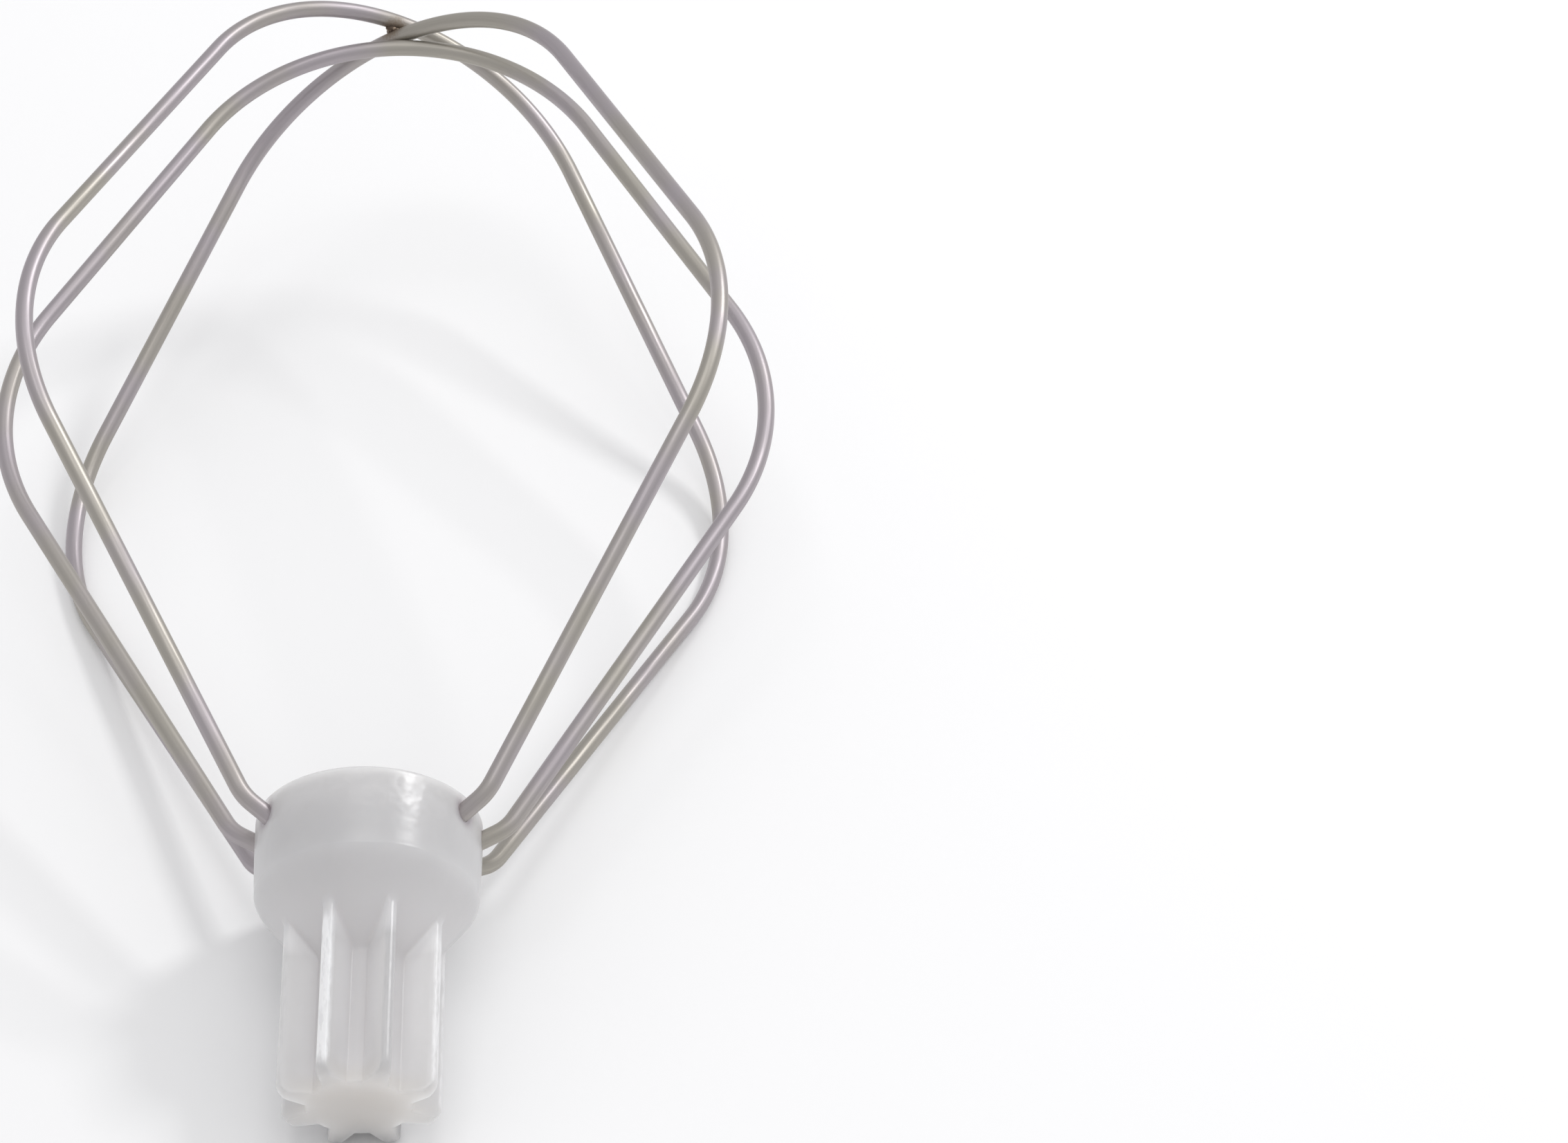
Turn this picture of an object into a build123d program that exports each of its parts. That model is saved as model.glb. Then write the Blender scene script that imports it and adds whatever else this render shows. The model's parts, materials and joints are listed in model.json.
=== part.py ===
from build123d import *
from math import atan2, cos, hypot, radians, sin, sqrt, tan
import os

# Wire whisk for a stand mixer: a moulded drive hub and three bent wire loops.
# It lies as it comes to rest, on two fins of its shaft and on two of the loops,
# with its crown towards +Y and a little raised. +Z is up and the floor is at zero.
# Heights run along the whisk's own axis from the end of the shaft, and radial
# sizes run out from that axis. Millimetres and degrees.

# Drive shaft of the hub, a core with tapered fins
fin_count = 8
fin_tip_d = 18.2
fin_root_d = 11.4
fin_crest_width = 1.1
fin_root_width = 2.8
fin_crest_round = 0.5
fin_root_round = 0.5
fin_length = 21.0  # along the crests, from the shaft's end to the cone
fin_end_chamfer = 1.0

# Flange of the hub, on a cone that the fins run out into
cone_slope = 53.5  # from square to the axis
flange_lip = 3.4  # from the crests of the fins out to the rim
flange_height = 9.5
flange_round = 0.5

# Wire and the holes that hold its ends
wire_d = 2.0
hole_clearance = 0.03
hole_below_top = 2.0  # middle of a hole on the rim, below the top of the flange
end_slope = 29.0  # how steeply a wire end falls towards the axis
wire_end_from_axis = 6.0

# Shape of a loop: bends beside the hub, at the wide corners and at the crown.
# A corner's place is where its two straights would meet.
hub_bend_standoff = 2.7
hub_bend_radius = 5.0
corner_from_axis = 49.6
corner_rise = 55.6  # above the flange
corner_bend_radius = 29.3
crown_rise = 119.9  # of the outer loop above the flange
crown_bend_radius = 27.3

# How the three loops are set against each other
loop_spread = 29.3  # turn of the outer and middle loops away from the inner one
crown_gap = 0.05  # air between loops that cross at the crown
inner_corner_lift = 2.4

# Hub heights and radii that follow
fin_tip_r = fin_tip_d / 2
fin_root_r = fin_root_d / 2
fin_foot = sqrt(fin_root_r**2 - (fin_root_width / 2) ** 2)
flange_r = fin_tip_r + flange_lip
cone_rise = tan(radians(cone_slope))
cone_foot = fin_length - (fin_tip_r - fin_root_r) * cone_rise
flange_base = fin_length + flange_lip * cone_rise
flange_top = flange_base + flange_height

# Where a fin that lies on the floor touches it, on the rounded edge of its crest: how far
# that is below and beside the axis, and the height at which the end chamfer leaves off there
half_step = radians(180 / fin_count)
flank_lean = atan2((fin_root_width - fin_crest_width) / 2, fin_tip_r - fin_foot)
edge_out = fin_tip_r - fin_crest_round
edge_aside = fin_crest_width / 2 - fin_crest_round * tan(radians(45) - flank_lean / 2)
touch_below = edge_out * cos(half_step) + edge_aside * sin(half_step) + fin_crest_round
touch_beside = edge_out * sin(half_step) - edge_aside * cos(half_step)
touch_height = fin_end_chamfer - (fin_tip_r - hypot(touch_below, touch_beside))

# Points of a loop that follow, as radius and height
hole_height = flange_top - hole_below_top
end_rise = tan(radians(end_slope))
hub_bend = Vector(flange_r + hub_bend_standoff, hole_height + hub_bend_standoff * end_rise)
wire_end = Vector(wire_end_from_axis, hole_height - (flange_r - wire_end_from_axis) * end_rise)
crown_step = wire_d + crown_gap


def loop_corner(lift):
    """Point where the two straights of a side would meet."""
    return Vector(corner_from_axis, flange_top + corner_rise + lift)


def loop_apex(corner, crown):
    """Point where the upper straights would meet, for a crown bend that tops out at crown."""
    drop = crown_bend_radius - (crown - corner.Y)
    narrowing = 1 - (crown_bend_radius / corner.X) ** 2
    root = sqrt(drop**2 - narrowing * (drop**2 - crown_bend_radius**2))
    return Vector(0, corner.Y + (root - drop) / narrowing)


def corner_centre(corner, apex):
    """Centre of the bend at a wide corner."""
    down = (hub_bend - corner).normalized()
    up = (apex - corner).normalized()
    half_angle = radians(down.get_angle(up) / 2)
    return corner + (down + up).normalized() * (corner_bend_radius / sin(half_angle))


# Each loop's turn about the axis and its corner and apex, from the crown's top wire down
crown_top = flange_top + crown_rise
loops = {}
for name, turn, level, lift in (
    ("outer_loop", loop_spread, 0, 0),
    ("middle_loop", -loop_spread, 1, 0),
    ("inner_loop", 0, 2, inner_corner_lift),
):
    corner = loop_corner(lift)
    loops[name] = (turn, corner, loop_apex(corner, crown_top - level * crown_step))


def loop_reach(tilt):
    """How far below the shaft's end the lowest loop reaches, lying at this tilt."""
    reaches = []
    for turn, corner, apex in loops.values():
        side = abs(sin(radians(turn)))
        centre = corner_centre(corner, apex)
        bend_reach = corner_bend_radius * hypot(side * cos(tilt), sin(tilt))
        reaches.append(centre.X * side * cos(tilt) - centre.Y * sin(tilt) + bend_reach + wire_d / 2)
    return max(reaches)


def hub_reach(tilt):
    """How far below the shaft's end the fins or the flange reach, lying at this tilt."""
    fin_reach = touch_below * cos(tilt) - touch_height * sin(tilt)
    flange_reach = flange_r * cos(tilt) - flange_base * sin(tilt)
    return max(fin_reach, flange_reach)


# Tilt at which the loops and the hub reach the same floor, by halving its range
low_tilt, high_tilt = 0, radians(45)
while high_tilt - low_tilt > 1e-9:
    rest_tilt = (low_tilt + high_tilt) / 2
    if loop_reach(rest_tilt) > hub_reach(rest_tilt):
        low_tilt = rest_tilt
    else:
        high_tilt = rest_tilt

# The whisk's own frame: its axis is the plane's normal, and the plane's +Y faces the floor.
# The origin lies below the middle of the whisk's length over the floor.
crown_centre_height = crown_top - crown_bend_radius
crown_side = sin(radians(loop_spread)) * sin(rest_tilt)
crown_far = (
    crown_centre_height * cos(rest_tilt)
    + crown_bend_radius * hypot(crown_side, cos(rest_tilt))
    + wire_d / 2
)
shaft_far = (touch_below - touch_height) * sin(rest_tilt)
lying = Plane(
    origin=(0, (shaft_far - crown_far) / 2, hub_reach(rest_tilt)),
    x_dir=(1, 0, 0),
    z_dir=(0, cos(rest_tilt), sin(rest_tilt)),
)
whisk_axis = Axis(lying.origin, lying.z_dir)


def section_plane(turn):
    """Plane through the axis, turned about it, with radius along X and height along Y."""
    return lying.moved(Rot(Z=turn) * Rot(X=90))


def hole_plane(turn):
    """Plane across a wire end at the bend beside the hub, facing into the hub."""
    section = section_plane(turn)
    mouth = section.from_local_coords(hub_bend)
    return Plane(origin=mouth, z_dir=section.from_local_coords(wire_end) - mouth)


os.makedirs("parts", exist_ok=True)

# Hub: a turned core, cone and flange, with fins along the shaft and holes for the wire ends
with BuildPart() as hub:
    with BuildSketch(section_plane(0)) as profile:
        Polygon(
            (0, 0),
            (fin_root_r, 0),
            (fin_root_r, cone_foot),
            (flange_r, flange_base),
            (flange_r, flange_top),
            (0, flange_top),
            align=None,
        )
        fillet(profile.vertices().group_by(Axis.X)[-1], flange_round)
    revolve(axis=whisk_axis)

    with BuildSketch(lying) as star:
        with Locations(Rot(Z=90 + 180 / fin_count)):
            Circle(fin_root_r)
        with PolarLocations(0, fin_count, start_angle=90 + 180 / fin_count):
            Polygon(
                (0, -fin_root_width / 2),
                (fin_foot, -fin_root_width / 2),
                (fin_tip_r, -fin_crest_width / 2),
                (fin_tip_r, fin_crest_width / 2),
                (fin_foot, fin_root_width / 2),
                (0, fin_root_width / 2),
                align=None,
            )
        fillet(star.vertices().group_by(SortBy.DISTANCE)[0], fin_root_round)
        fillet(star.vertices().group_by(SortBy.DISTANCE)[-1], fin_crest_round)
    extrude(amount=flange_base)

    with BuildSketch(section_plane(0)):
        Polygon(
            (fin_tip_r - fin_end_chamfer, 0),
            (fin_tip_r + fin_end_chamfer, 0),
            (fin_tip_r + fin_end_chamfer, 2 * fin_end_chamfer),
            align=None,
        )
    revolve(axis=whisk_axis, mode=Mode.SUBTRACT)

    for turn, _, _ in loops.values():
        for side in (0, 180):
            with BuildSketch(hole_plane(turn + side)):
                Circle(wire_d / 2 + hole_clearance)
            extrude(amount=(hub_bend - wire_end).length + hole_clearance, mode=Mode.SUBTRACT)
hub.part.label = "hub"
export_step(hub.part, "parts/hub.step")

# Loops: one length of round wire each, bent five times in the loop's plane through the axis
for name, (turn, corner, apex) in loops.items():
    near_side = [wire_end, hub_bend, corner]
    points = [(point.X, point.Y) for point in (*near_side, apex)]
    points += [(-point.X, point.Y) for point in reversed(near_side)]
    side_bends = [hub_bend_radius, corner_bend_radius]
    bends = [*side_bends, crown_bend_radius, *reversed(side_bends)]
    with BuildPart() as loop:
        with BuildLine(section_plane(turn)) as path:
            FilletPolyline(*points, radius=bends)
        with BuildSketch(Plane(origin=path.line @ 0, z_dir=path.line % 0)):
            Circle(wire_d / 2)
        sweep(path=path.line)
    loop.part.label = name
    export_step(loop.part, f"parts/{name}.step")
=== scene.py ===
import json
import logging
from dataclasses import dataclass, field
from enum import Enum
from functools import cached_property
from typing import Any, NamedTuple

import bpy
import numpy as np
from mathutils import Matrix, Vector
from numpy.typing import NDArray


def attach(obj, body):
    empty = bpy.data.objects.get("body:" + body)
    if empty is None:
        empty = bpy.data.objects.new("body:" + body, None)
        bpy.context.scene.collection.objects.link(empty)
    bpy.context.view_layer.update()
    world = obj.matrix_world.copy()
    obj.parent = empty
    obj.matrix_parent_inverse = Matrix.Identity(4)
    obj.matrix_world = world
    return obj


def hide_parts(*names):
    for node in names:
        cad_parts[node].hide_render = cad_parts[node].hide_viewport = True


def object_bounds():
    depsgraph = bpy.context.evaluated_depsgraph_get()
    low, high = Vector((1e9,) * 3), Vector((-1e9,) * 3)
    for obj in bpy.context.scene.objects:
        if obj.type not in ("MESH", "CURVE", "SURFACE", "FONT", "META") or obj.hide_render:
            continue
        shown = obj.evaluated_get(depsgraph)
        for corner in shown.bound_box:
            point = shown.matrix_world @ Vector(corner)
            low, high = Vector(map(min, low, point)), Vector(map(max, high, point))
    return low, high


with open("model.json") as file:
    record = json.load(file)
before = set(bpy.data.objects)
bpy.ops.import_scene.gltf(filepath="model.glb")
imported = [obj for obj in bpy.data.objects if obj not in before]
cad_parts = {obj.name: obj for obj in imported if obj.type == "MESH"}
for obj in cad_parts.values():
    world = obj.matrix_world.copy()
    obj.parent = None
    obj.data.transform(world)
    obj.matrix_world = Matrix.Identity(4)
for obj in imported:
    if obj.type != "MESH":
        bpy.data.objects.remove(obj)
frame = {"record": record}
CAD_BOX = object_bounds()

# Wire whisk for a stand mixer, lying on a pale floor: a milky moulded hub with a finned drive
# shaft, three bent loops of drawn steel wire, and the spot weld where two of them cross.
# Sizes are in millimetres and angles in degrees. Meshes and shader coordinates are in metres.
MM = 0.001

Array = NDArray[np.float64]
Inputs = dict[int | str, Any]
Settings = dict[str, Any]
Colour = tuple[float, float, float]
Span = tuple[float, float]
log = logging.getLogger("wire_whisk")


class Slot(Enum):
    """The record's material slots."""

    HUB = "hub_plastic"
    WIRE = "steel_wire"


class LoopPlace(Enum):
    """The three loops, by the CAD node that each stands for, from the crown's top wire down."""

    OUTER = "outer_loop"
    MIDDLE = "middle_loop"
    INNER = "inner_loop"

    @property
    def level(self) -> int:
        """How many wires lie above this one where the loops cross."""
        return list(LoopPlace).index(self)

    @property
    def turn_sign(self) -> int:
        """Which way the loop is turned about the whisk's axis, or zero for the level one."""
        return (1, -1, 0)[self.level]


def unit(vector: Array) -> Array:
    """The vector at length one."""
    return vector / np.linalg.norm(vector)


def pointing(heading: float, elevation: float) -> Array:
    """The unit vector at a heading, counted from +Y towards +X, and at an elevation above level."""
    way, up = np.radians([heading, elevation])
    return np.array([np.sin(way) * np.cos(up), np.cos(way) * np.cos(up), np.sin(up)])


def smooth_fall(distance: Array, full: float, gone: float) -> Array:
    """1 up to one distance, 0 from another on, and 3 t^2 - 2 t^3 with a share t of the way left."""
    share = np.clip((gone - distance) / (gone - full), 0, 1)
    return share**2 * (3 - 2 * share)


def rounded_min(first: Array, second: Array, width: float) -> Array:
    """The lesser of two sizes, less a parabola that rounds their edge off, at most width / 4."""
    overlap = np.maximum(width - np.abs(first - second), 0) / width
    return np.minimum(first, second) - overlap**2 * width / 4


def rounded_max(first: Array, second: Array, width: float) -> Array:
    """The greater of two sizes, with a fillet between them of the same form."""
    return -rounded_min(-first, -second, width)


@dataclass(frozen=True)
class WhiskAxes:
    """The whisk's own frame as it lies, read from the frame's record.

    Attributes:
        origin: Middle of the shaft's end.
        along: Unit vector along the axis, from the shaft's end to the crown.
        across: Unit vector across the whisk, level.
        below: Unit vector square to both, towards the floor.
    """

    origin: Array
    along: Array
    across: Array
    below: Array

    @classmethod
    def from_record(cls, record: dict[str, Any]) -> "WhiskAxes":
        """The frame of the mount on the shaft's end, whose axis points out of the shaft."""
        mount = next(m for m in record["mounts"] if m["name"] == "shaft_end")
        along = -unit(np.array(mount["axis"]))
        across = np.array([1.0, 0.0, 0.0])
        return cls(np.array(mount["pos_m"]) / MM, along, across, np.cross(along, across))

    def place(self, points: Array) -> Array:
        """Turns points given as (across, below, along) into points of the row frame."""
        return self.origin + points @ np.stack([self.across, self.below, self.along])


class PathElements(NamedTuple):
    """Straight runs and arcs of a path, in turn, one number or point for each."""

    starts: Array
    headings: Array
    curvatures: Array
    lengths: Array


@dataclass(frozen=True)
class BentPath:
    """A plane path of straight runs, joined at its corners by arcs that touch both runs.

    The heading stays on a run and turns evenly on an arc. So after a length d on an element of
    curvature k that starts with heading a, the path stands at heading a + k d / 2 from the
    element's start, at a distance of d sin(k d / 2) / (k d / 2), which is d on a run.

    Attributes:
        corners: Ends and corners of the path, one row of two numbers each.
        radii: Radius of the arc at each corner that isn't an end.
    """

    corners: Array
    radii: Array

    @staticmethod
    def chord(heading: Array, curvature: Array, length: Array) -> Array:
        """The step from an element's start to a length along it, by the class's formula."""
        reach = length * np.sinc(curvature * length / (2 * np.pi))
        middle = heading + curvature * length / 2
        return np.stack([reach * np.cos(middle), reach * np.sin(middle)], axis=-1)

    @cached_property
    def elements(self) -> PathElements:
        """Works out the runs and arcs.

        An arc of radius R that turns by an angle b takes R tan(b / 2) off each run beside it.

        Returns:
            The elements from the path's start to its end.
        """
        legs = np.diff(self.corners, axis=0)
        run_headings = np.arctan2(legs[:, 1], legs[:, 0])
        turns = (np.diff(run_headings) + np.pi) % (2 * np.pi) - np.pi
        setbacks = self.radii * np.tan(np.abs(turns) / 2)
        count = len(legs) + len(turns)
        lengths, curvatures, headings = np.zeros((3, count))
        lengths[::2] = np.hypot(*legs.T) - np.pad(setbacks, (0, 1)) - np.pad(setbacks, (1, 0))
        lengths[1::2] = self.radii * np.abs(turns)
        curvatures[1::2] = np.sign(turns) / self.radii
        headings[::2] = run_headings
        headings[1::2] = run_headings[:-1]
        steps = self.chord(headings, curvatures, lengths)
        starts = self.corners[0] + np.cumsum(steps, axis=0) - steps
        return PathElements(starts, headings, curvatures, lengths)

    @cached_property
    def ends(self) -> Array:
        """Length of the path at the end of each element."""
        return np.cumsum(self.elements.lengths)

    def evenly(self, spacing: float) -> Array:
        """Lengths along the path at about this spacing, both ends included."""
        return np.linspace(0, self.ends[-1], int(np.ceil(self.ends[-1] / spacing)) + 1)

    def stepped(self, steps: int) -> Array:
        """Lengths along the path, in so many equal steps on each run and on each arc."""
        counts = steps * np.arange(len(self.ends) + 1)
        return np.interp(np.arange(counts[-1] + 1), counts, np.concatenate([[0], self.ends]))

    def at(self, lengths: Array) -> tuple[Array, Array]:
        """The path at some lengths along it.

        Args:
            lengths: Lengths from the path's start.

        Returns:
            Points, one row of two numbers each, and headings in radians.
        """
        found = np.minimum(np.searchsorted(self.ends, lengths), len(self.ends) - 1)
        starts, headings, curvatures, spans = (part[found] for part in self.elements)
        gone = lengths - self.ends[found] + spans
        return starts + self.chord(headings, curvatures, gone), headings + curvatures * gone


@dataclass(frozen=True)
class Skin:
    """A closed skin of rings of points, with one more point that closes it at each end.

    Seen from the last point, the points of a ring run anticlockwise, so the faces look outwards.

    Attributes:
        rings: Points of the row frame, as rings by points by three.
        first: Point that closes the first ring.
        last: Point that closes the last ring.
    """

    rings: Array
    first: Array
    last: Array

    def mesh(self, name: str) -> bpy.types.Mesh:
        """Makes the mesh, with smooth faces: quads between rings and a fan at each end.

        Args:
            name: Name of the mesh.

        Returns:
            The mesh, in metres.
        """
        rows, columns = self.rings.shape[:2]
        here = np.arange(rows * columns).reshape(rows, columns)
        ahead = np.roll(here, -1, axis=1)
        quads = np.stack([here[:-1], ahead[:-1], ahead[1:], here[1:]], axis=-1).reshape(-1, 4)
        poles = np.broadcast_to(here.size + np.arange(2)[:, None], (2, columns))
        first_fan = np.stack([poles[0], ahead[0], here[0]], axis=-1)
        last_fan = np.stack([here[-1], ahead[-1], poles[1]], axis=-1)
        points = np.concatenate([self.rings.reshape(-1, 3), [self.first, self.last]]) * MM
        mesh = bpy.data.meshes.new(name)
        mesh.from_pydata(points, [], [*quads.tolist(), *first_fan.tolist(), *last_fan.tolist()])
        mesh.polygons.foreach_set("use_smooth", np.ones(len(mesh.polygons), bool))
        mesh.update()
        return mesh

    def add_weights(self, mesh: bpy.types.Mesh, name: str, weights: Array) -> None:
        """Puts numbers, as rings by points, on the skin's mesh, and zero on the end points."""
        values = np.concatenate([weights.ravel(), [0, 0]]).astype(np.float32)
        mesh.attributes.new(name, "FLOAT", "POINT").data.foreach_set("value", values)

    def add_unrolled_map(self, mesh: bpy.types.Mesh, name: str, lengths: Array) -> None:
        """Unrolls the skin: U is the length along it in metres and V goes from 0 to 1 around it.

        Args:
            mesh: Mesh of this skin.
            name: Name of the map.
            lengths: Length along the skin at each ring.
        """
        columns = self.rings.shape[1]
        around = np.arange(columns) / columns
        step = 1 / columns
        low, v = np.broadcast_arrays(lengths[:-1, None] * MM, around)
        high = np.broadcast_to(lengths[1:, None] * MM, low.shape)
        corners = [(low, v), (low, v + step), (high, v + step), (high, v)]
        quads = np.stack([np.stack(c, axis=-1) for c in corners], axis=2).reshape(-1, 2)
        ends = np.repeat(lengths[[0, -1]] * MM, 3 * columns)
        fans = np.stack([ends, np.tile(around, 6)], axis=-1)
        uv = np.concatenate([quads, fans]).astype(np.float32)
        mesh.uv_layers.new(name=name).data.foreach_set("uv", uv.ravel())


def show(mesh: bpy.types.Mesh, material: bpy.types.Material) -> bpy.types.Object:
    """Puts a mesh with its material into the scene, at the origin and under its own name."""
    mesh.materials.append(material)
    piece = bpy.data.objects.new(mesh.name, mesh)
    bpy.context.scene.collection.objects.link(piece)
    return piece


@dataclass(frozen=True)
class Signal:
    """A node's output, with arithmetic that adds Math nodes behind it.

    Attributes:
        recipe: The material that the node belongs to.
        socket: The output socket.
    """

    recipe: "Recipe"
    socket: bpy.types.NodeSocket

    def math(self, operation: str, first: "Number", second: "Number" = 0.0) -> "Signal":
        """The result of one Math node."""
        return self.recipe.signal("ShaderNodeMath", {"operation": operation}, {0: first, 1: second})

    def __add__(self, other: "Number") -> "Signal":
        """This plus other."""
        return self.math("ADD", self, other)

    __radd__ = __add__

    def __sub__(self, other: "Number") -> "Signal":
        """This less other."""
        return self.math("SUBTRACT", self, other)

    def __rsub__(self, other: "Number") -> "Signal":
        """Other less this."""
        return self.math("SUBTRACT", other, self)

    def __mul__(self, other: "Number") -> "Signal":
        """This times other."""
        return self.math("MULTIPLY", self, other)

    __rmul__ = __mul__

    def cosine(self) -> "Signal":
        """Cosine of this, in radians."""
        return self.math("COSINE", self)

    def sine(self) -> "Signal":
        """Sine of this, in radians."""
        return self.math("SINE", self)

    def eased(self, start: float, end: float) -> "Signal":
        """From 0 where this is at start to 1 where it is at end, smoothly and held beyond both."""
        return self.recipe.signal(
            "ShaderNodeMapRange",
            {"interpolation_type": "SMOOTHSTEP"},
            {0: self, 1: start, 2: end, 3: 0.0, 4: 1.0},
        )

    def over(self, span: Span) -> "Signal":
        """This, as a length in metres, eased over a span in millimetres."""
        return self.eased(span[0] * MM, span[1] * MM)

    def between(self, ends: Span) -> "Signal":
        """On the line that has the first number where this is 0 and the second where it is 1."""
        return ends[0] + (ends[1] - ends[0]) * self


Number = Signal | float


@dataclass(frozen=True)
class Recipe:
    """The nodes of one material.

    Attributes:
        material: The material that they are in.
    """

    material: bpy.types.Material

    @classmethod
    def named(cls, name: str) -> "Recipe":
        """An empty recipe in a new material of that name."""
        material = bpy.data.materials.new(name)
        material.use_nodes = True
        material.node_tree.nodes.clear()
        return cls(material)

    def node(
        self, kind: str, settings: Settings | None = None, inputs: Inputs | None = None
    ) -> bpy.types.Node:
        """Adds one node.

        Args:
            kind: The node's type.
            settings: Its settings, which are set first.
            inputs: A value or a signal for each socket that isn't left as it comes.

        Returns:
            The node.
        """
        made = self.material.node_tree.nodes.new(kind)
        for name, value in (settings or {}).items():
            setattr(made, name, value)
        for key, value in (inputs or {}).items():
            if isinstance(value, Signal):
                self.material.node_tree.links.new(value.socket, made.inputs[key])
            else:
                made.inputs[key].default_value = value
        return made

    def signal(
        self,
        kind: str,
        settings: Settings | None = None,
        inputs: Inputs | None = None,
        output: int | str = 0,
    ) -> Signal:
        """Adds one node, as node does, and takes one of its outputs, by place or by name."""
        return Signal(self, self.node(kind, settings, inputs).outputs[output])

    def place(self) -> Signal:
        """Where a point of the surface lies in the row frame, in metres."""
        return self.signal("ShaderNodeTexCoord", output="Object")

    def unrolled(self) -> tuple[Signal, Signal]:
        """The length along the piece's own map, in metres, and the share of a turn around it."""
        uv = self.signal("ShaderNodeTexCoord", output="UV")
        parts = self.node("ShaderNodeSeparateXYZ", inputs={0: uv})
        return Signal(self, parts.outputs[0]), Signal(self, parts.outputs[1])

    def measured(self, operation: str, where: Signal, fixed: Array) -> Signal:
        """The number that a Vector Math node makes of coordinates and a fixed vector."""
        sockets = {0: where, 1: Vector(fixed)}
        return self.signal("ShaderNodeVectorMath", {"operation": operation}, sockets, "Value")

    def height(self, axes: WhiskAxes) -> Signal:
        """How far a point of the surface lies along the whisk's axis, in metres."""
        start = float(axes.origin @ axes.along) * MM
        return self.measured("DOT_PRODUCT", self.place(), axes.along) - start

    def distance(self, point: Array) -> Signal:
        """How far a point of the surface is from a point of the row frame, in metres."""
        return self.measured("DISTANCE", self.place(), point * MM)

    def weights(self, name: str) -> Signal:
        """The numbers that a mesh has on its points under that name."""
        return self.signal("ShaderNodeAttribute", {"attribute_name": name}, output="Fac")

    def vector(self, x: Number, y: Number, z: Number) -> Signal:
        """A vector of three numbers."""
        return self.signal("ShaderNodeCombineXYZ", inputs={0: x, 1: y, 2: z})

    def cloud(self, where: Signal, feature: float, detail: float = 2.0, bend: float = 0.0) -> Signal:
        """Soft noise from 0 to 1.

        Args:
            where: Coordinates, in metres or in units that feature shares.
            feature: Size of the noise's blotches.
            detail: How many finer layers are added.
            bend: How far the blotches are drawn out of shape.

        Returns:
            The noise, about one half on average.
        """
        sizes = {"Scale": 1 / feature, "Detail": detail, "Distortion": bend}
        return self.signal("ShaderNodeTexNoise", inputs={"Vector": where, **sizes})

    def stretched(self, where: Signal, axes: WhiskAxes, stretch: float) -> Signal:
        """Coordinates as (across, below, along / stretch), on which noise runs along the axis."""
        sides = (axes.across, axes.below, axes.along / stretch)
        return self.vector(*(self.measured("DOT_PRODUCT", where, side) for side in sides))

    def layers(self, base: Colour, *layers: tuple[Colour, Number]) -> Signal:
        """Colours laid over a base, one after the other.

        Args:
            base: Colour at the bottom.
            layers: Each colour on top of it, with the share by which it covers those below.

        Returns:
            The colour that shows.
        """
        shown: Any = (*base, 1.0)
        for colour, share in layers:
            sockets = {0: share, 6: shown, 7: (*colour, 1.0)}
            shown = self.signal("ShaderNodeMix", {"data_type": "RGBA"}, sockets, 2)
        return shown

    def bump(self, height: Signal, depth: float, below: Signal | None = None) -> Signal:
        """A normal for relief from 0 to 1, at a depth in millimetres, over a coarser one if any."""
        sockets = {"Height": height, "Distance": depth * MM, "Strength": 1.0}
        if below is not None:
            sockets["Normal"] = below
        return self.signal("ShaderNodeBump", inputs=sockets)

    def finish(self, inputs: Inputs) -> bpy.types.Material:
        """Ends the recipe in a Principled surface with these values and signals in its sockets."""
        surface = self.signal("ShaderNodeBsdfPrincipled", inputs=inputs)
        self.node("ShaderNodeOutputMaterial", inputs={"Surface": surface})
        return self.material


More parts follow.
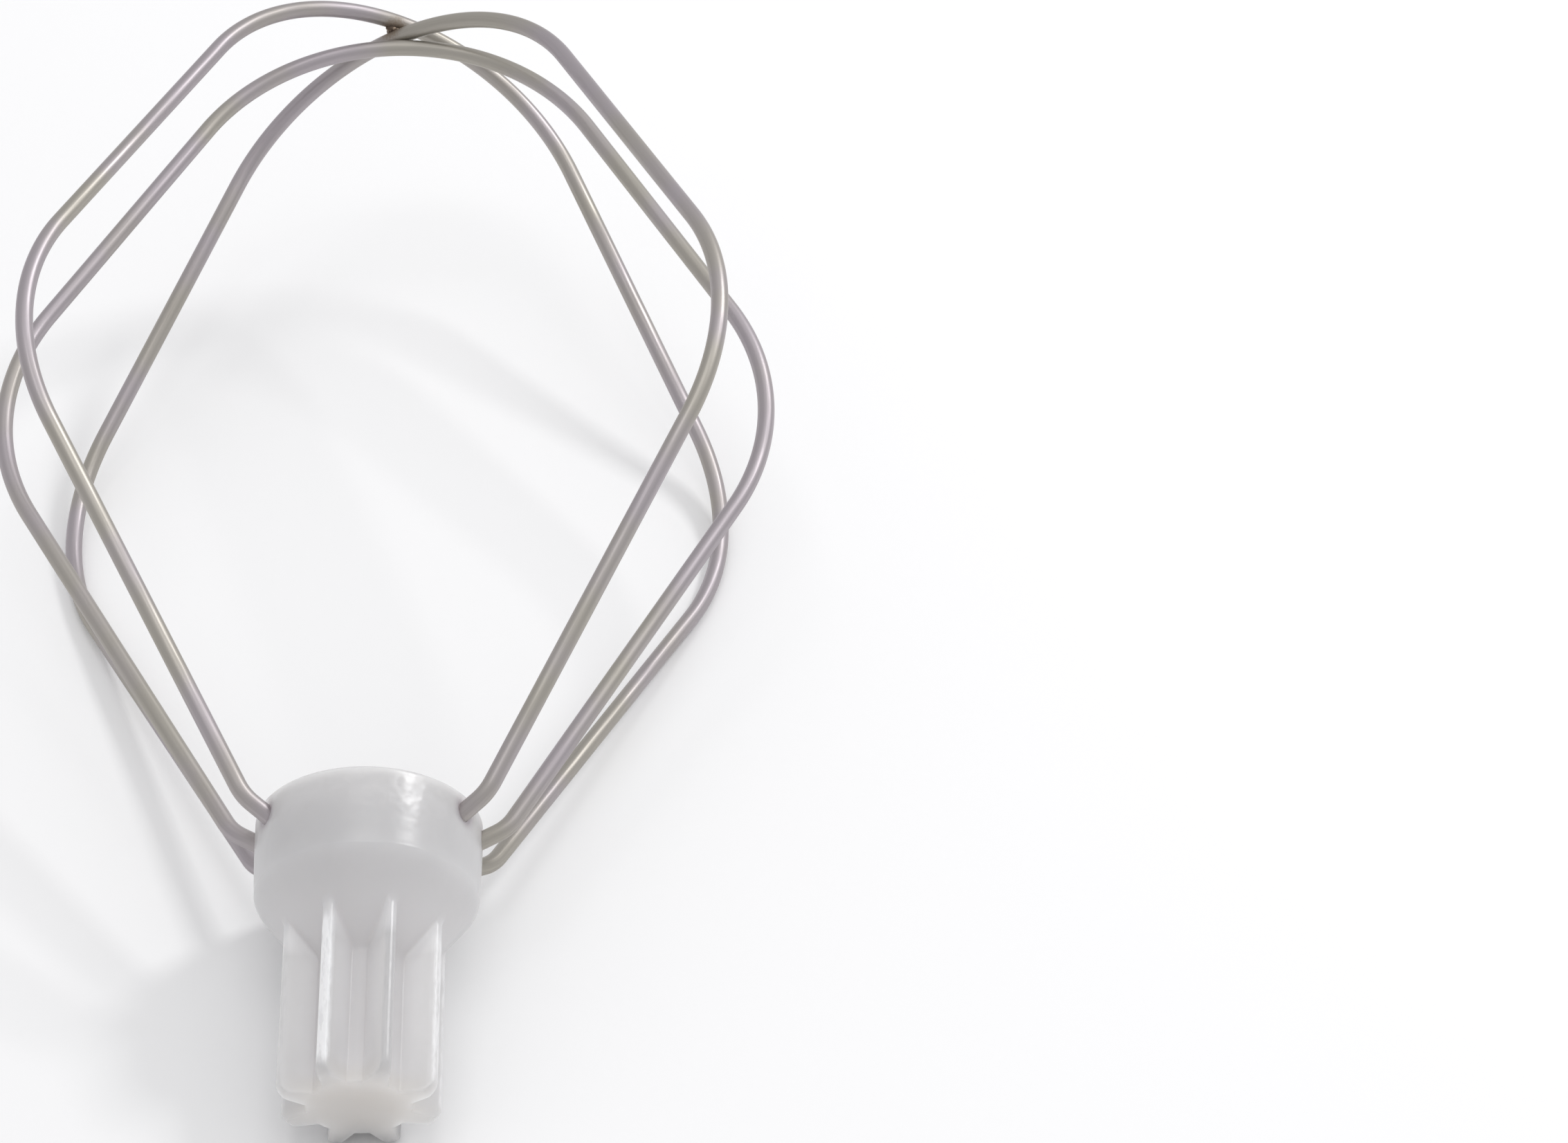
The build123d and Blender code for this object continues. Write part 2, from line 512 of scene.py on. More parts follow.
@dataclass(frozen=True)
class MilkyNylon:
    """Finish of the hub: milky moulded nylon, glossy, with its crests whitened partly by wear and
    partly as a painted highlight, and with painted contact shade and grime at the wires.

    Colours and waves set in or fade over spans of heights along the whisk's axis. A contrast is
    the span of noise that becomes 0 to 1, and the other spans are what 0 and 1 then become.

    Attributes:
        entry_weights: Name of the mesh attribute that marks the skin beside the wires.
        fin_weights: Name of the mesh attribute that says how far the fins stand out.
        worn_sheen_weights: Name of the mesh attribute that marks the worn crests, whitened partly as
            a painted highlight.
    """

    # Painted light: the shaft is paler than the flange for light that shines through its fins.
    shaft: Colour = (0.645, 0.636, 0.641)
    # Painted shade: fins darken towards their crests and all over near the shaft's end.
    painted_fin_shade: Colour = (0.345, 0.34, 0.343)
    flange: Colour = (0.52, 0.517, 0.523)
    # Painted shade: the flange greys towards its rim to darken its top edge.
    rim: Colour = (0.42, 0.418, 0.424)
    warm: Colour = (0.585, 0.563, 0.54)
    # Painted contact shade, with grime, where the wires enter the hub.
    entry_shade_grime: Colour = (0.31, 0.275, 0.31)
    # Whitened crests: partly wear and partly a painted highlight.
    worn_sheen: Colour = (0.93, 0.93, 0.94)
    warm_heights: Span = (0.2, 3.0)
    fin_shade_heights: Span = (0.2, 8.0)
    flange_heights: Span = (18.0, 28.0)
    rim_heights: Span = (31.5, 35.1)
    wave_heights: Span = (27.0, 32.0)
    cloud_size: float = 6.0
    flange_clouds: Span = (0.75, 1.25)
    warm_clouds: Span = (0.7, 1.3)
    entry_shade_grime_share: float = 0.7
    wave_size: float = 1.7
    wave_depth: float = 0.11
    wave_swell: Span = (0.3, 1.0)
    grain_size: float = 0.3
    grain_depth: float = 0.0012
    drag_size: float = 0.5
    drag_stretch: float = 5.0
    drag_contrast: Span = (0.35, 0.65)
    worn_sheen_patches: Span = (0.55, 1.35)
    roughness: Span = (0.28, 0.43)
    refraction: float = 1.53
    scatter_depth: float = 15.0
    scatter_tint: Colour = (1.0, 0.97, 0.93)
    entry_weights: str = "entry"
    fin_weights: str = "fin"
    worn_sheen_weights: str = "worn_sheen_share"

    def material(self, axes: WhiskAxes) -> bpy.types.Material:
        """Mixes the finish.

        The shaft is paler than the flange, painted light that stands for light shining through its
        fins, and warmer at its end, and the flange greys towards its rim, painted shade on its top
        edge. The slender fins grey towards their crests, and all over near the shaft's end, as
        painted shade.
        Waves in the skin, strongest on the flange, break reflections up, and the crests are whitened
        in patches drawn out along them, partly by wear and partly as a painted highlight.

        Args:
            axes: The whisk's frame.

        Returns:
            The material.
        """
        recipe = Recipe.named("milky_nylon")
        place = recipe.place()
        height = recipe.height(axes)
        clouds = recipe.cloud(place, self.cloud_size * MM, detail=3.0, bend=0.6)
        # Share of the flange's colour, which takes away the shaft's painted paleness.
        flange_share = height.over(self.flange_heights) * clouds.between(self.flange_clouds)
        warmth = (1 - height.over(self.warm_heights)) * clouds.between(self.warm_clouds)
        fin = recipe.weights(self.fin_weights)
        near_end = 1 - height.over(self.fin_shade_heights)
        drawn = recipe.stretched(place, axes, self.drag_stretch)
        drag = recipe.cloud(drawn, self.drag_size * MM).eased(*self.drag_contrast)
        # Whitening of the crests, partly wear and partly a painted highlight, in patches along them.
        worn_sheen_share = recipe.weights(self.worn_sheen_weights) * drag.between(self.worn_sheen_patches)
        colour = recipe.layers(
            self.shaft,
            # The flange's colour over the shaft's painted paler tone.
            (self.flange, flange_share),
            # Painted shade that darkens the flange towards its top edge.
            (self.rim, height.over(self.rim_heights)),
            (self.warm, warmth),
            # Painted shade on the fins: darker towards the crests and near the shaft's end.
            (self.painted_fin_shade, fin * (fin + near_end * (1 - fin))),
            # Painted contact shade and grime beside the wires.
            (self.entry_shade_grime, recipe.weights(self.entry_weights) * self.entry_shade_grime_share),
            # Crests whitened partly by wear and partly as a painted highlight.
            (self.worn_sheen, worn_sheen_share),
        )
        swell = height.over(self.wave_heights).between(self.wave_swell)
        waves = recipe.cloud(place, self.wave_size * MM, detail=1.0) * swell
        grain = recipe.cloud(place, self.grain_size * MM)
        return recipe.finish({
            "Base Color": colour,
            "Roughness": worn_sheen_share.between(self.roughness),
            "Normal": recipe.bump(grain, self.grain_depth, recipe.bump(waves, self.wave_depth)),
            "IOR": self.refraction,
            "Subsurface Weight": 1.0,
            "Subsurface Radius": self.scatter_tint,
            "Subsurface Scale": self.scatter_depth * MM,
        })


@dataclass(frozen=True)
class DrawnSteel:
    """Finish of the loops: drawn steel wire, satin, with faint warm patches and heat tint at the
    weld.

    Both tints fade over a span of distances from the weld's middle, with ragged edges.
    """

    bright: Colour = (0.43, 0.395, 0.415)
    warm: Colour = (0.415, 0.392, 0.352)
    straw: Colour = (0.30, 0.24, 0.185)
    burnt: Colour = (0.10, 0.075, 0.06)
    straw_share: float = 0.85
    burnt_share: float = 0.8
    straw_reach: Span = (0.95, 2.2)
    burnt_reach: Span = (0.57, 1.235)
    tint_ragged: float = 0.9
    patch_size: float = 16.0
    patch_contrast: Span = (0.38, 0.66)
    streak_length: float = 9.0
    streak_width: float = 0.28
    streak_depth: float = 0.010
    streak_contrast: Span = (0.3, 0.8)
    pit_size: float = 0.22
    pit_depth: float = 0.004
    roughness: Span = (0.40, 0.60)
    tint_roughness: float = 0.2
    burnt_metal: float = 0.5

    def material(self, weld: Array, wire_d: float) -> bpy.types.Material:
        """Mixes the finish.

        Streaks are noise on a cylinder, with the length shrunk so that they run along the wire.
        The heat tint goes by the distance from the weld, from straw to burnt brown.

        Args:
            weld: Middle of the weld, in the row frame.
            wire_d: Diameter of the wire.

        Returns:
            The material.
        """
        recipe = Recipe.named("drawn_steel")
        place = recipe.place()
        length, turn = recipe.unrolled()
        angle = turn * (2 * np.pi)
        radius = wire_d / 2 * MM
        shrunk = length * (self.streak_width / self.streak_length)
        skin = recipe.vector(angle.cosine() * radius, angle.sine() * radius, shrunk)
        streaks = recipe.cloud(skin, self.streak_width * MM)
        pits = recipe.cloud(place, self.pit_size * MM, detail=1.0)
        patches = recipe.cloud(place, self.patch_size * MM).eased(*self.patch_contrast)
        away = recipe.distance(weld) + self.tint_ragged * MM * (pits - 0.5)
        straw = 1 - away.over(self.straw_reach)
        burnt = 1 - away.over(self.burnt_reach)
        colour = recipe.layers(
            self.bright,
            (self.warm, patches),
            (self.straw, straw * self.straw_share),
            (self.burnt, burnt * self.burnt_share),
        )
        dullness = streaks.eased(*self.streak_contrast).between(self.roughness)
        return recipe.finish({
            "Base Color": colour,
            "Roughness": dullness + self.tint_roughness * straw,
            "Metallic": burnt.between((1.0, self.burnt_metal)),
            "Normal": recipe.bump(pits, self.pit_depth, recipe.bump(streaks, self.streak_depth)),
        })


@dataclass(frozen=True)
class BurntBead:
    """Finish of the weld: melted steel under brown scale, which comes first in each span."""

    scale: Colour = (0.10, 0.07, 0.05)
    bare: Colour = (0.33, 0.26, 0.20)
    blotch_size: float = 0.5
    blotch_contrast: Span = (0.45, 0.7)
    relief_depth: float = 0.06
    roughness: Span = (0.62, 0.37)
    metal: Span = (0.4, 1.0)

    def material(self) -> bpy.types.Material:
        """Mixes the finish: blotches of scale over bare metal.

        Returns:
            The material.
        """
        recipe = Recipe.named("burnt_bead")
        blotches = recipe.cloud(recipe.place(), self.blotch_size * MM, detail=3.0)
        bare = blotches.eased(*self.blotch_contrast)
        return recipe.finish({
            "Base Color": recipe.layers(self.scale, (self.bare, bare)),
            "Roughness": bare.between(self.roughness),
            "Metallic": bare.between(self.metal),
            "Normal": recipe.bump(blotches, self.relief_depth),
        })


@dataclass(frozen=True)
class WireCage:
    """The three loops of round wire, each bent in a plane through the whisk's axis.

    Heights run along the axis from the shaft's end, and radial sizes run out from the axis. A
    corner's place is where its two straights would meet.
    """

    axes: WhiskAxes
    flange_r: float
    flange_top: float
    wire_d: float = 2.0
    hole_below_top: float = 2.0
    end_slope: float = 29.0
    wire_end_from_axis: float = 6.0
    hub_bend_standoff: float = 2.7
    hub_bend_radius: float = 5.0
    corner_from_axis: float = 49.6
    corner_rise: float = 55.6
    corner_bend_radius: float = 29.3
    crown_rise: float = 119.9
    crown_bend_radius: float = 27.3
    loop_spread: float = 29.3
    crown_gap: float = 0.05
    inner_corner_lift: float = 2.4
    weld_aside: float = -1.1
    ring_spacing: float = 0.45
    ring_points: int = 28
    finish: DrawnSteel = field(default_factory=DrawnSteel)

    @property
    def end_rise(self) -> float:
        """Rise of a wire end for each millimetre out from the axis."""
        return np.tan(np.radians(self.end_slope))

    @property
    def crown_step(self) -> float:
        """Height between the middles of two wires that cross at the crown."""
        return self.wire_d + self.crown_gap

    @property
    def weld(self) -> Array:
        """Middle of the weld: between the outer and middle loops, just beside where they cross."""
        height = self.flange_top + self.crown_rise - self.crown_step / 2
        return self.axes.place(np.array([self.weld_aside, 0.0, height]))

    def turn(self, place: LoopPlace) -> float:
        """Turn of a loop about the axis, in radians."""
        return np.radians(self.loop_spread * place.turn_sign)

    def entry_point(self, out: float) -> tuple[float, float]:
        """Radius and height of the middle of a wire end, at some radius out from the axis."""
        return out, self.flange_top - self.hole_below_top + (out - self.flange_r) * self.end_rise

    def apex_height(self, corner_height: float, crown: float) -> float:
        """Height where a loop's upper straights would meet on the axis.

        The crown bend of radius R tops out at the crown and touches a straight that falls from
        the apex to the corner. With the apex a height h above the corner, a corner w from the axis
        and the bend's middle a height d below the corner, (h + d) w = R sqrt(w^2 + h^2).

        Args:
            corner_height: Height of the corners.
            crown: Height at which the bend tops out.

        Returns:
            Height of the apex.
        """
        drop = self.crown_bend_radius - (crown - corner_height)
        narrowing = 1 - (self.crown_bend_radius / self.corner_from_axis) ** 2
        root = np.sqrt(drop**2 - narrowing * (drop**2 - self.crown_bend_radius**2))
        return corner_height + (root - drop) / narrowing

    def path(self, place: LoopPlace) -> BentPath:
        """The middle line of a loop, as radius and height, from one wire end to the other.

        Args:
            place: Which loop.

        Returns:
            The path, which goes up the side of positive radius.
        """
        lift = self.inner_corner_lift if place is LoopPlace.INNER else 0.0
        corner_height = self.flange_top + self.corner_rise + lift
        crown = self.flange_top + self.crown_rise - place.level * self.crown_step
        side = np.array([
            self.entry_point(self.wire_end_from_axis),
            self.entry_point(self.flange_r + self.hub_bend_standoff),
            (self.corner_from_axis, corner_height),
        ])
        apex = [[0.0, self.apex_height(corner_height, crown)]]
        bends = [self.hub_bend_radius, self.corner_bend_radius]
        corners = np.concatenate([side, apex, side[::-1] * [-1, 1]])
        return BentPath(corners, np.array([*bends, self.crown_bend_radius, *reversed(bends)]))

    def build(self, place: LoopPlace, material: bpy.types.Material) -> bpy.types.Object:
        """Carries a circle along a loop's path and dresses it.

        With N square to the path in the loop's plane and B square to that plane, a point is the
        path's point plus r (cos v N + sin v B), for v around the circle.

        Args:
            place: Which loop.
            material: Finish of the wire.

        Returns:
            The loop, riding on the whisk and standing for its CAD node.
        """
        path = self.path(place)
        lengths = path.evenly(self.ring_spacing)
        points, headings = path.at(lengths)
        around = np.linspace(0, 2 * np.pi, self.ring_points, endpoint=False)
        lift = self.wire_d / 2 * np.cos(around)
        radius = points[:, :1] - np.sin(headings)[:, None] * lift
        height = points[:, 1:] + np.cos(headings)[:, None] * lift
        aside = np.broadcast_to(self.wire_d / 2 * np.sin(around), radius.shape)
        turn = self.turn(place)
        local = np.stack([
            radius * np.cos(turn) + aside * np.sin(turn),
            radius * np.sin(turn) - aside * np.cos(turn),
            height,
        ], axis=-1)
        rings = self.axes.place(local)
        skin = Skin(rings, rings[0].mean(axis=0), rings[-1].mean(axis=0))
        mesh = skin.mesh(f"{place.value}_wire")
        skin.add_unrolled_map(mesh, "unrolled", lengths)
        piece = show(mesh, material)
        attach(piece, "root")
        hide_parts(place.value)
        return piece


@dataclass(frozen=True)
class DriveHub:
    """The moulded hub: a finned drive shaft that runs out into a cone under a round flange.

    Attributes:
        fin_worn_sheens: How worn and whitened each fin's crest is, from 0 to 1, partly as a painted
            highlight.
        worn_sheen_depths: Depths below a crest over which its whitening fades.
        worn_sheen_reach: Distances from worn_sheen_middle over which it fades, in shares of
            fin_length.
        side_rings: Rings from each mark of the side to the next.
    """

    axes: WhiskAxes
    fin_count: int = 8
    fin_tip_d: float = 18.2
    fin_root_d: float = 11.4
    fin_crest_width: float = 1.1
    fin_root_width: float = 2.8
    fin_length: float = 21.0
    fin_end_chamfer: float = 1.0
    crest_round: float = 0.6
    root_round: float = 0.25
    groove_round: float = 3.0
    cone_slope: float = 53.5
    flange_lip: float = 3.4
    flange_height: float = 9.5
    flange_round: float = 0.5
    flange_barrel: float = 0.25
    end_round: float = 0.3
    chamfer_blend: float = 0.3
    run_out_blend: float = 0.5
    crease_blend: float = 0.4
    entry_depth: float = 0.22
    entry_width: float = 0.4
    # How far the painted contact shade and grime overlaps each wire and how wide it spreads.
    shade_grime_overlap: float = 0.2
    shade_grime_width: float = 1.3
    ridge_height: float = 0.025
    ridge_width: float = 0.17
    ridge_rise: float = 0.255
    # Whitening of each fin's crest, partly wear and partly a painted highlight.
    fin_worn_sheens: tuple[float, ...] = (0.5, 0.3, 0.1, 1.0, 0.05, 0.4, 0.4, 0.6)
    worn_sheen_depths: Span = (0.15, 0.6)
    worn_sheen_middle: float = 0.48
    worn_sheen_reach: Span = (0.34, 0.46)
    outline_steps: int = 7
    edge_rings: int = 6
    face_rings: int = 12
    face_middle: float = 0.06
    side_rings: tuple[int, ...] = (10, 22, 42, 12, 18, 38)
    finish: MilkyNylon = field(default_factory=MilkyNylon)

    @property
    def cone_rise(self) -> float:
        """Rise of the cone for each millimetre out from the axis."""
        return np.tan(np.radians(self.cone_slope))

    @property
    def flange_r(self) -> float:
        """Radius of the flange."""
        return self.fin_tip_d / 2 + self.flange_lip

    @property
    def flange_base(self) -> float:
        """Height at which the cone meets the flange."""
        return self.fin_length + self.flange_lip * self.cone_rise

    @property
    def flange_top(self) -> float:
        """Height of the flange's top."""
        return self.flange_base + self.flange_height

    @property
    def cone_foot(self) -> float:
        """Height at which the cone meets the shaft between two fins."""
        return self.fin_length - (self.fin_tip_d - self.fin_root_d) / 2 * self.cone_rise

    def outline(self) -> tuple[Array, Array]:
        """The finned shaft's outline, from the middle of one crest once round the axis.

        Each fin has a flat crest and two flanks that spread towards its root, and a groove has a
        point in its middle, on the root circle. Crests and roots are rounded by arcs.

        Returns:
            Turns about the axis in radians, always growing, and radii.
        """
        tip, root = self.fin_tip_d / 2, self.fin_root_d / 2
        half_step = np.pi / self.fin_count
        foot_turn = np.arcsin(self.fin_root_width / 2 / root)
        flank = np.array([np.arctan2(self.fin_crest_width / 2, tip), foot_turn])
        turns = np.concatenate([flank, [half_step], 2 * half_step - flank[::-1]])
        turns = turns + 2 * half_step * np.arange(self.fin_count)[:, None]
        edge = np.hypot(tip, self.fin_crest_width / 2)
        radii = np.array([edge, root, root, root, edge])
        corners = np.stack([radii * np.cos(turns), radii * np.sin(turns)], axis=-1).reshape(-1, 2)
        crest_middle = [[tip, 0.0]]
        bends = [self.crest_round, self.root_round]
        path = BentPath(
            np.concatenate([crest_middle, corners, crest_middle]),
            np.tile([*bends, self.groove_round, *reversed(bends)], self.fin_count),
        )
        points, _ = path.at(path.stepped(self.outline_steps)[:-1])
        turns = np.unwrap(np.arctan2(points[:, 1], points[:, 0]))
        return turns + np.pi / 2 + half_step, np.hypot(*points.T)

    def rings(self) -> tuple[Array, Array, Array]:
        """The rings of the skin, from the middle of the shaft's end to the middle of the top.

        The edges of both end faces are quarter circles, and the rings lie closest where the fins
        run out, at the crease of the flange and on the flange.

        Returns:
            For each ring its height, how far it is drawn in, and the share of its radius left.
        """
        end, rim, top = self.end_round, self.flange_round, self.flange_top
        run_out, crease = self.run_out_blend * self.cone_rise, self.crease_blend * self.cone_rise
        quarter = np.linspace(0, np.pi / 2, self.edge_rings)
        face = np.linspace(self.face_middle, 1, self.face_rings)
        marks = [
            end,
            self.fin_end_chamfer + self.chamfer_blend,
            self.cone_foot - run_out,
            self.fin_length + run_out,
            self.flange_base - crease,
            self.flange_base + crease,
            top - rim,
        ]
        sides = np.concatenate([
            np.linspace(low, high, count, endpoint=False)
            for low, high, count in zip(marks, marks[1:], self.side_rings)
        ])
        inner = quarter[1:-1]
        sections = [
            (0, end, face),
            (end * (1 - np.cos(inner)), end * (1 - np.sin(inner)), 1),
            (sides, 0, 1),
            (top - rim * (1 - np.sin(quarter)), rim * (1 - np.cos(quarter)), 1),
            (top, rim, face[-2::-1]),
        ]
        return tuple(np.concatenate([np.broadcast_arrays(*s) for s in sections], axis=1))

    def side_radius(self, star: Array, height: Array) -> Array:
        """Radius of the side: the fins, cut by the chamfer of their ends, then the cone and flange.

        The flange draws in towards its crease by the square of the way down from its top, and a
        fine ridge, a bell curve of its height, runs round the crease.

        Args:
            star: Radius of the finned outline at each turn.
            height: Height of each ring, as a column.

        Returns:
            Radii, as rings by turns.
        """
        chamfer = self.fin_tip_d / 2 - self.fin_end_chamfer + height
        cone = self.fin_root_d / 2 + (height - self.cone_foot) / self.cone_rise
        shaft = rounded_min(star, chamfer, self.chamfer_blend)
        spread = rounded_max(shaft, cone, self.run_out_blend)
        down = (self.flange_top - height) / self.flange_height
        flange = self.flange_r - self.flange_barrel * down**2
        side = rounded_min(spread, flange, self.crease_blend)
        crease = self.flange_base - self.flange_barrel * self.cone_rise
        from_ridge = (height - crease - self.ridge_rise) / self.ridge_width
        return side + self.ridge_height * np.exp(-from_ridge**2)

    def standing_out(self, radius: Array, height: Array) -> Array:
        """How far the skin stands out from core and cone, in shares of a whole fin's height."""
        root, tip = self.fin_root_d / 2, self.fin_tip_d / 2
        core = root + np.maximum(height - self.cone_foot, 0) / self.cone_rise
        return np.clip((radius - core) / (tip - root), 0, 1) * (height < self.fin_length)

    def worn_sheens(self, turn: Array, star: Array, height: Array) -> Array:
        """How worn and whitened the skin is, partly as a painted highlight: on the crests, each fin
        by its own measure, clear of both ends.

        Args:
            turn: Turns of the outline, from the middle of a crest.
            star: Radius of the finned outline at each turn.
            height: Height of each ring, as a column.

        Returns:
            Weights, as rings by turns.
        """
        fin = np.rint((turn - turn[0]) * self.fin_count / (2 * np.pi)).astype(int) % self.fin_count
        crest = smooth_fall(self.fin_tip_d / 2 - star, *self.worn_sheen_depths)
        from_middle = np.abs(height / self.fin_length - self.worn_sheen_middle)
        return np.array(self.fin_worn_sheens)[fin] * crest * smooth_fall(from_middle, *self.worn_sheen_reach)

    def entry_distance(self, cage: WireCage, turn: Array, radius: Array, height: Array) -> Array:
        """Distance from each point of the skin to the middle line of the nearest wire end.

        Args:
            cage: The loops whose ends the hub holds.
            turn: Turns of the outline.
            radius: Radius of each point, as rings by turns.
            height: Its height.

        Returns:
            Distances, as rings by turns.
        """
        turns = np.array([cage.turn(p) + half for p in LoopPlace for half in (0, np.pi)])
        gap = turn[:, None] - turns
        out, aside = radius[..., None] * np.cos(gap), radius[..., None] * np.sin(gap)
        mouth_r, mouth_h = cage.entry_point(self.flange_r)
        slope = np.radians(cage.end_slope)
        over = (height[..., None] - mouth_h) * np.cos(slope) - (out - mouth_r) * np.sin(slope)
        behind = np.where(out > 0, 0, self.flange_r)
        return (np.hypot(aside, over) + behind).min(axis=-1)

    def build(self, cage: WireCage, material: bpy.types.Material) -> bpy.types.Object:
        """Makes the skin and dresses it.

        A point lies at its turn about the axis, at the side's radius less the ring's inset, times
        the ring's share. Beside the wires the skin sinks a little, and is marked for painted contact
        shade and grime.

        Args:
            cage: The loops whose ends the hub holds.
            material: Finish of the hub.

        Returns:
            The hub, riding on the whisk and standing for its CAD node.
        """
        turn, star = self.outline()
        height, inset, share = (part[:, None] for part in self.rings())
        worn_sheens = self.worn_sheens(turn, star, height)
        radius = (self.side_radius(star, height) - inset) * share
        fins = self.standing_out(radius, height)
        height = np.broadcast_to(height, radius.shape)
        away = self.entry_distance(cage, turn, radius, height)
        wire_r = cage.wire_d / 2
        radius = radius - self.entry_depth * smooth_fall(away, wire_r, wire_r + self.entry_width)
        rings = np.stack([radius * np.cos(turn), radius * np.sin(turn), height], axis=-1)
        poles = np.array([[0, 0, 0], [0, 0, self.flange_top]])
        skin = Skin(self.axes.place(rings), *self.axes.place(poles))
        mesh = skin.mesh("moulded_hub")
        # Weights of the painted contact shade and grime round each wire's entry.
        entry_shade_grime = smooth_fall(away, wire_r - self.shade_grime_overlap, wire_r + self.shade_grime_width)
        skin.add_weights(mesh, self.finish.entry_weights, entry_shade_grime)
        skin.add_weights(mesh, self.finish.fin_weights, fins)
        skin.add_weights(mesh, self.finish.worn_sheen_weights, worn_sheens)
        piece = show(mesh, material)
        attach(piece, "root")
        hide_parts("hub")
        return piece


@dataclass(frozen=True)
class CrownWeld:
    """The bead of the spot weld between the two upper loops at the crown."""

    cage: WireCage
    half_length: float = 0.95
    half_width: float = 0.75
    half_height: float = 0.55
    lumps: float = 0.12
    rows: int = 24
    columns: int = 48
    finish: BurntBead = field(default_factory=BurntBead)

    def build(self, material: bpy.types.Material) -> bpy.types.Object:
        """Makes the bead: a flat ellipsoid, long across the whisk, with lumps round its edge.

        At a turn a about the axis and a rise b from -90 to 90 degrees, the ellipsoid is scaled by
        1 + lumps cos b (cos 3a + cos 5a / 2 + sin(2a + 3b) / 2), in all three directions.

        Args:
            material: Finish of the bead.

        Returns:
            The bead, riding on the whisk.
        """
        rise = np.linspace(-np.pi / 2, np.pi / 2, self.rows + 2)[1:-1, None]
        turn = np.linspace(0, 2 * np.pi, self.columns, endpoint=False)
        waves = np.cos(3 * turn) + np.cos(5 * turn) / 2 + np.sin(2 * turn + 3 * rise) / 2
        scale = 1 + self.lumps * waves * np.cos(rise)
        local = np.stack([
            scale * self.half_length * np.cos(rise) * np.cos(turn),
            scale * self.half_width * np.cos(rise) * np.sin(turn),
            scale * self.half_height * np.sin(rise) * np.ones_like(turn),
        ], axis=-1)
        axes = self.cage.axes
        middle = self.cage.weld - axes.origin
        poles = np.array([[0, 0, -self.half_height], [0, 0, self.half_height]])
        skin = Skin(axes.place(local) + middle, *(axes.place(poles) + middle))
        piece = show(skin.mesh("crown_weld"), material)
        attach(piece, "root")
        return piece


@dataclass(frozen=True)
class SoftLight:
    """A soft box: a square that shines towards the whisk.

    Attributes:
        name: Name of the light.
        heading: Way to it, from +Y towards +X.
        elevation: How high it stands, above the horizon.
        distance: How far from the whisk's middle.
        side: Length of the square's sides.
        radiance: Brightness of its surface, where white paper in the scene is about 1.
    """

    name: str
    heading: float
    elevation: float
    distance: float
    side: float
    radiance: float

    def build(self, middle: Array) -> bpy.types.Object:
        """Hangs the light up.

        Args:
            middle: Point that it shines at.

        Returns:
            The light.
        """
        light = bpy.data.lights.new(self.name, "AREA")
        light.shape = "SQUARE"
        light.size = self.side * MM
        light.energy = self.radiance * np.pi * light.size**2
        out = pointing(self.heading, self.elevation)
        lamp = bpy.data.objects.new(self.name, light)
        lamp.location = Vector((middle + out * self.distance) * MM)
        lamp.rotation_euler = Vector(out).to_track_quat("Z", "Y").to_euler()
        bpy.context.scene.collection.objects.link(lamp)
        return lamp


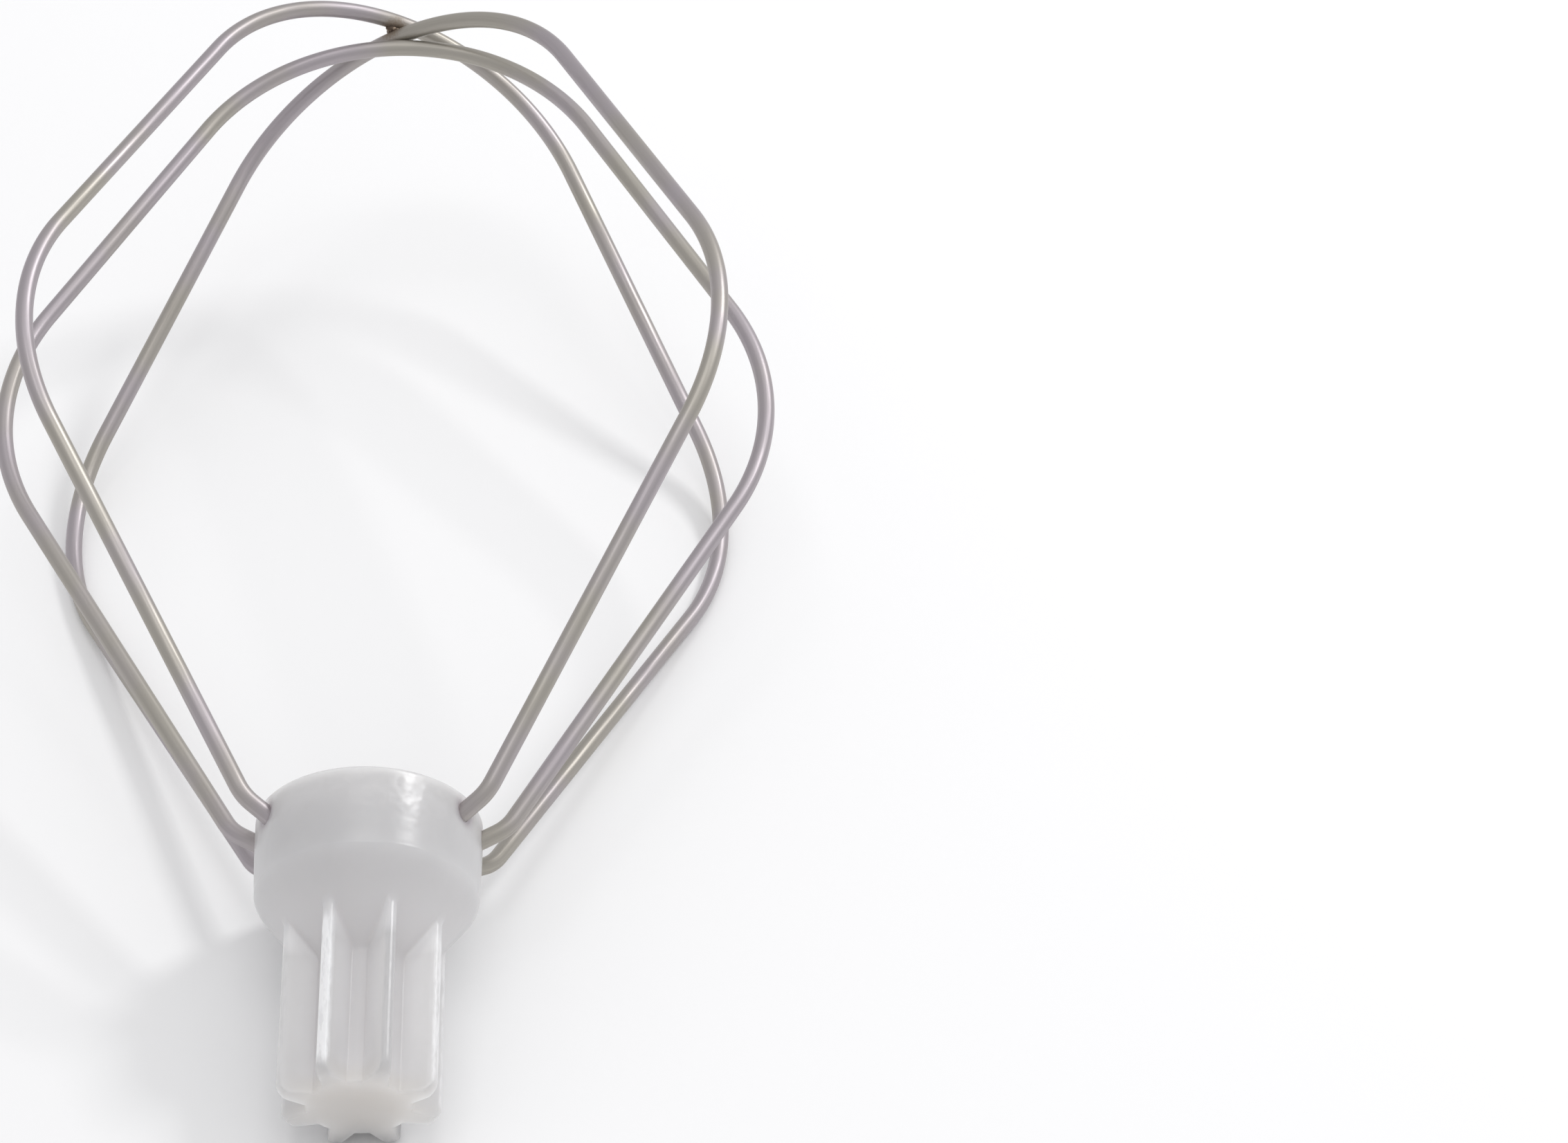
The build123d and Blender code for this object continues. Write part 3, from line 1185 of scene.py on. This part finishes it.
@dataclass(frozen=True)
class Studio:
    """The pale floor, the soft light and the camera.

    Attributes:
        aim: Point of the floor in the middle of the picture.
        distance: How far the camera stands from it.
        heading: Way that the camera looks, from +Y towards +X.
        elevation: How steeply it looks down.
        roll: How far it leans.
        lens: Focal length, for a picture as wide as the sensor.
    """

    aim: tuple[float, float, float] = (47.15, 11.67, 0.0)
    distance: float = 511.5
    heading: float = 1.955
    elevation: float = 44.742
    roll: float = 0.7245
    lens: float = 96.33
    sensor_width: float = 36.0
    clip_near: float = 5.115
    floor_reach: float = 6000.0
    floor_colour: Colour = (0.975, 0.975, 0.975)
    floor_roughness: float = 0.7
    sky_colour: Colour = (0.985, 0.985, 1.0)
    sky_strength: float = 0.725
    lights: tuple[SoftLight, ...] = (
        SoftLight("window", heading=54.5, elevation=42.5, distance=900.0, side=175.0, radiance=22.5),
        SoftLight("ceiling", heading=0.0, elevation=86.0, distance=1300.0, side=700.0, radiance=1.4),
    )

    def build_floor(self) -> bpy.types.Object:
        """Lays the floor: one large level square at height zero.

        Returns:
            The floor, which isn't part of the whisk.
        """
        recipe = Recipe.named("pale_floor")
        colour = (*self.floor_colour, 1.0)
        material = recipe.finish({"Base Color": colour, "Roughness": self.floor_roughness})
        reach = self.floor_reach * MM
        mesh = bpy.data.meshes.new("floor")
        square = [(-reach, -reach, 0), (reach, -reach, 0), (reach, reach, 0), (-reach, reach, 0)]
        mesh.from_pydata(square, [], [(0, 1, 2, 3)])
        floor = show(mesh, material)
        return floor

    def build_lights(self, middle: Array) -> None:
        """Sets an even sky, hangs the lights up round the whisk and shows colours as they are.

        Args:
            middle: Point that they shine at.
        """
        world = bpy.data.worlds.new("even_sky")
        world.use_nodes = True
        background = world.node_tree.nodes["Background"]
        background.inputs["Color"].default_value = (*self.sky_colour, 1.0)
        background.inputs["Strength"].default_value = self.sky_strength
        bpy.context.scene.world = world
        for light in self.lights:
            light.build(middle)
        bpy.context.scene.view_settings.view_transform = "Standard"

    def build_camera(self) -> bpy.types.Object:
        """Stands the camera where it sees the whisk as in the photograph.

        Returns:
            The camera, which becomes the scene's own.
        """
        roll = np.radians(self.roll)
        forward = pointing(self.heading, -self.elevation)
        level = pointing(self.heading + 90, 0)
        right = np.cos(roll) * level + np.sin(roll) * np.cross(level, forward)
        data = bpy.data.cameras.new("camera")
        data.lens, data.sensor_width, data.sensor_fit = self.lens, self.sensor_width, "HORIZONTAL"
        data.clip_start = self.clip_near * MM
        camera = bpy.data.objects.new("camera", data)
        turned = Matrix(np.stack([right, np.cross(right, forward), -forward], axis=1)).to_4x4()
        place = Vector((np.array(self.aim) - self.distance * forward) * MM)
        camera.matrix_world = Matrix.Translation(place) @ turned
        bpy.context.scene.collection.objects.link(camera)
        bpy.context.scene.camera = camera
        return camera


def main() -> None:
    """Builds the whisk, then the studio round it, and reports each piece."""
    logging.basicConfig(level=logging.INFO, format="%(name)s: %(message)s")
    axes = WhiskAxes.from_record(frame["record"])
    hub = DriveHub(axes)
    cage = WireCage(axes, hub.flange_r, hub.flange_top)
    weld = CrownWeld(cage)
    steel = cage.finish.material(cage.weld, cage.wire_d)
    pieces = [hub.build(cage, hub.finish.material(axes))]
    pieces += [cage.build(place, steel) for place in LoopPlace]
    pieces.append(weld.build(weld.finish.material()))
    for piece in pieces:
        log.info("%s: %d faces", piece.name, len(piece.data.polygons))

    studio = Studio()
    studio.build_floor()
    studio.build_lights(np.mean(CAD_BOX, axis=0) / MM)
    studio.build_camera()
    log.info("studio: floor, %d lights and camera", len(studio.lights))


if __name__ == "__main__":
    main()
